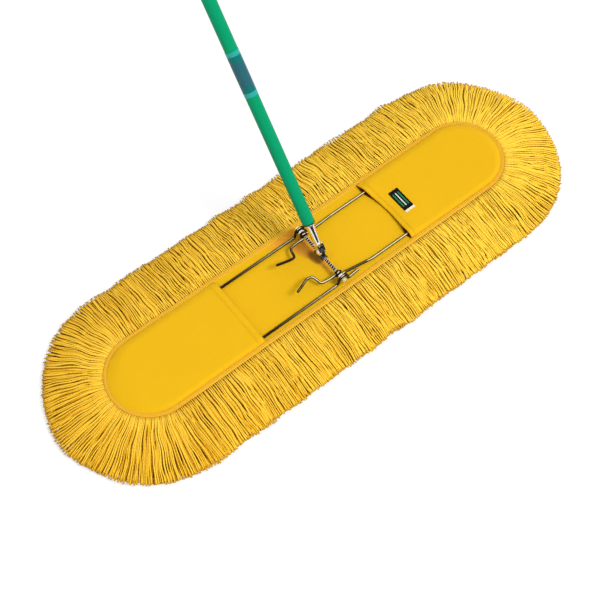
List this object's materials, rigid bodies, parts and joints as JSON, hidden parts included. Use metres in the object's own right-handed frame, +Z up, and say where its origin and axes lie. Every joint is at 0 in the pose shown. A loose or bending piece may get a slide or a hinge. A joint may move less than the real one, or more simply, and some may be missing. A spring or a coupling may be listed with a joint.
{
  "type": "yarn dust mop",
  "caption": "Flat commercial dust mop with a golden yarn head on a sprung two-part wire frame, and a green handle on a swivel that rocks and tilts",
  "frame": {"origin": "on the floor under the middle of the cross axle", "axes": "+X along the head towards the labelled pocket, +Y across the head along the cross axle towards the side the handle leans to, +Z up"},
  "size_m": [1.1309, 1.0156, 1.1619],
  "materials": {
    "canvas": "matte",
    "binding": "matte",
    "yarn": "matte",
    "label_cloth": "satin",
    "label_tab_cloth": "satin",
    "frame_wire": "polished",
    "spring_wire": "satin",
    "plated_hardware": "polished",
    "handle_paint": "gloss",
    "plug_plastic": "satin",
    "ring_plastic": "gloss",
    "sleeve_plastic": "gloss",
    "spigot_metal": "satin",
    "grip_rubber": "matte"
  },
  "bodies": {
    "left_half": {"canvas_left": "canvas", "binding_left": "binding", "pocket_left": "canvas", "yarn_left": "yarn", "left_wire": "frame_wire", "axle": "plated_hardware", "axle_collars": "plated_hardware", "axle_nuts": "plated_hardware", "block_washers": "plated_hardware", "spring_near": "spring_wire", "spring_far": "spring_wire"},
    "right_half": {"canvas_right": "canvas", "binding_right": "binding", "pocket_right": "canvas", "yarn_right": "yarn", "label": "label_cloth", "label_tab": "label_tab_cloth", "right_wire_end": "frame_wire"},
    "lever_near": {"right_arm_near": "frame_wire", "lever_washer_near": "plated_hardware"},
    "lever_far": {"right_arm_far": "frame_wire", "lever_washer_far": "plated_hardware"},
    "swivel": {"swivel_block": "plated_hardware"},
    "handle": {"fork_ferrule": "plated_hardware", "fork_rivet": "plated_hardware", "rivet_washers": "plated_hardware", "handle_end_plug": "plug_plastic", "handle_lower_tube": "handle_paint", "coupling_ring_lower": "ring_plastic", "coupling_sleeve": "sleeve_plastic", "coupling_ring_upper": "ring_plastic", "coupling_spigot": "spigot_metal", "handle_upper_tube": "handle_paint", "handle_grip": "grip_rubber", "handle_end_cap": "plug_plastic"}
  },
  "joints": [
    {"name": "frame_fold", "type": "hinge", "parent": "left_half", "child": "right_half", "pos_m": [0, 0, 0.0485], "axis": [0, -1, 0], "range_deg": [0, 14]},
    {"name": "lever_near_squeeze", "type": "slide", "parent": "right_half", "child": "lever_near", "axis": [0, 1, 0], "range_m": [0, 0.009], "stiffness_N_per_m": 1200, "springref_m": -0.004, "deforming": ["spring_near"]},
    {"name": "lever_far_squeeze", "type": "slide", "parent": "right_half", "child": "lever_far", "axis": [0, -1, 0], "range_m": [0, 0.009], "stiffness_N_per_m": 1200, "springref_m": -0.004, "deforming": ["spring_far"]},
    {"name": "handle_rock", "type": "hinge", "parent": "left_half", "child": "swivel", "pos_m": [0, 0, 0.0485], "axis": [0, 1, 0], "range_deg": [-60, 60]},
    {"name": "handle_tilt", "type": "hinge", "parent": "swivel", "child": "handle", "pos_m": [0, 0, 0.0615], "axis": [-1, 0, 0], "range_deg": [-111, 38]}
  ]
}
